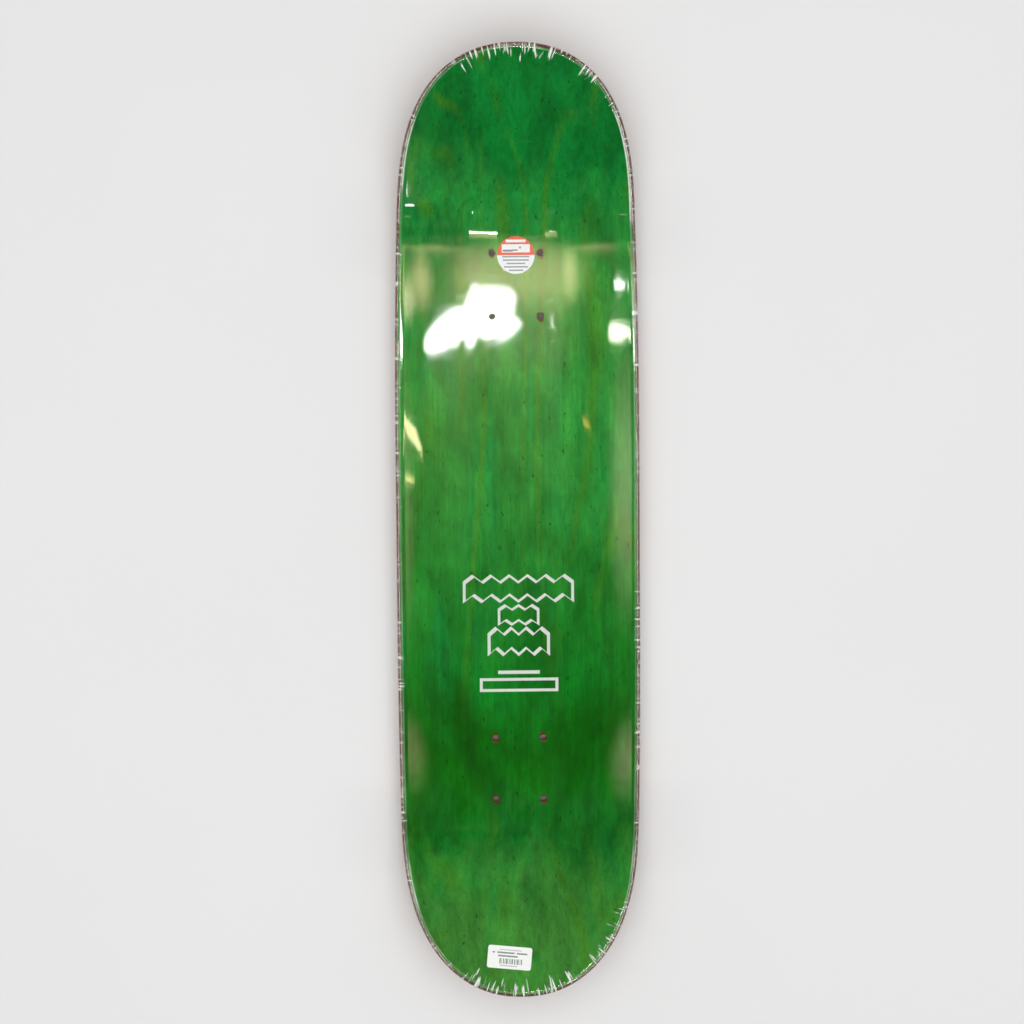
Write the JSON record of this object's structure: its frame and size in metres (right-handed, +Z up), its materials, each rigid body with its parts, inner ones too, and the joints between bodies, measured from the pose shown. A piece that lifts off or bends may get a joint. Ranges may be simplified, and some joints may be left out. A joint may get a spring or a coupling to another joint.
{
  "type": "skateboard deck",
  "caption": "Bare popsicle-shaped skateboard deck of pressed maple plies with a stained dished top, kicked nose and tail and truck bolt holes, in clear shrink film.",
  "frame": {"origin": "the wood's underside, on the centre line midway between the front and rear trucks", "axes": "+X along the deck towards the nose, +Y across the deck to the left as seen from above with the nose ahead, +Z up, out of the dished top"},
  "size_m": [0.8134, 0.21, 0.063],
  "materials": {
    "stained_maple": "green-stained, satin lacquered",
    "dyed_maple": "red-brown dyed veneer",
    "long_grain_maple": "bare pressed veneer, sanded at the rim",
    "cross_grain_maple": "bare pressed veneer, end grain along the rails",
    "face_maple": "clear satin lacquer",
    "shrink_film": "clear glossy shrink film",
    "sticker_vinyl": "printed vinyl",
    "label_paper": "white coated paper",
    "white_ink": "screen-printed white ink"
  },
  "bodies": {
    "root": {"top_face_ply": "stained_maple", "upper_long_ply": "dyed_maple", "upper_cross_ply": "cross_grain_maple", "core_ply": "long_grain_maple", "lower_cross_ply": "cross_grain_maple", "lower_long_ply": "long_grain_maple", "bottom_face_ply": "face_maple", "shrink_film": "shrink_film", "warning_sticker": "sticker_vinyl", "stock_label": "label_paper", "printed_graphic": "white_ink"}
  },
  "joints": []
}
